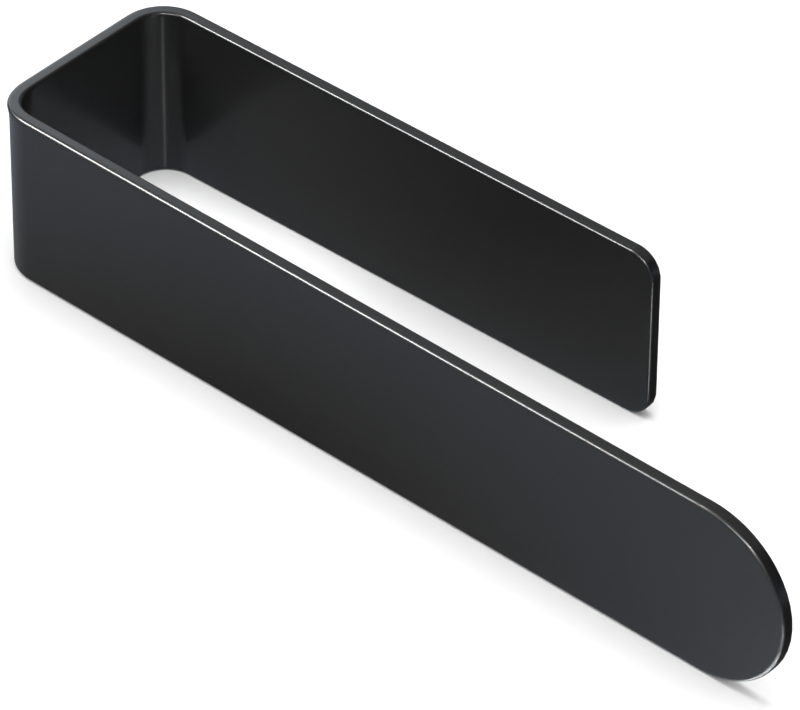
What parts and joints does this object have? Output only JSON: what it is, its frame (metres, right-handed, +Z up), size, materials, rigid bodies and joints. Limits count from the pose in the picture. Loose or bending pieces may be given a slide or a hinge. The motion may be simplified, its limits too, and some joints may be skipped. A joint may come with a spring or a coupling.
{
  "type": "self-adhesive towel and napkin bar",
  "caption": "Wall-mounted open bar that holds cloth napkins or a hand towel: a flat strip bent into an unequal U, with a foam pad and peel-off liner behind its short arm.",
  "frame": {"origin": "centre of the pad, on the wall's surface", "axes": "+X along the arms towards their free ends, +Y into the wall, +Z up, across the strip's width"},
  "size_m": [0.2048, 0.0556, 0.04],
  "materials": {
    "coated_metal": "satin black coating, smooth",
    "pad_foam": "black closed-cell foam, matt",
    "liner_film": "thin red film, semi-gloss"
  },
  "bodies": {
    "holder": {"bent_bar": "coated_metal", "adhesive_pad": "pad_foam"},
    "liner": {"release_liner": "liner_film"}
  },
  "joints": [
    {"name": "liner_peel", "type": "slide", "parent": "holder", "child": "liner", "axis": [0, 1, 0], "range_m": [0, 0.04]}
  ]
}
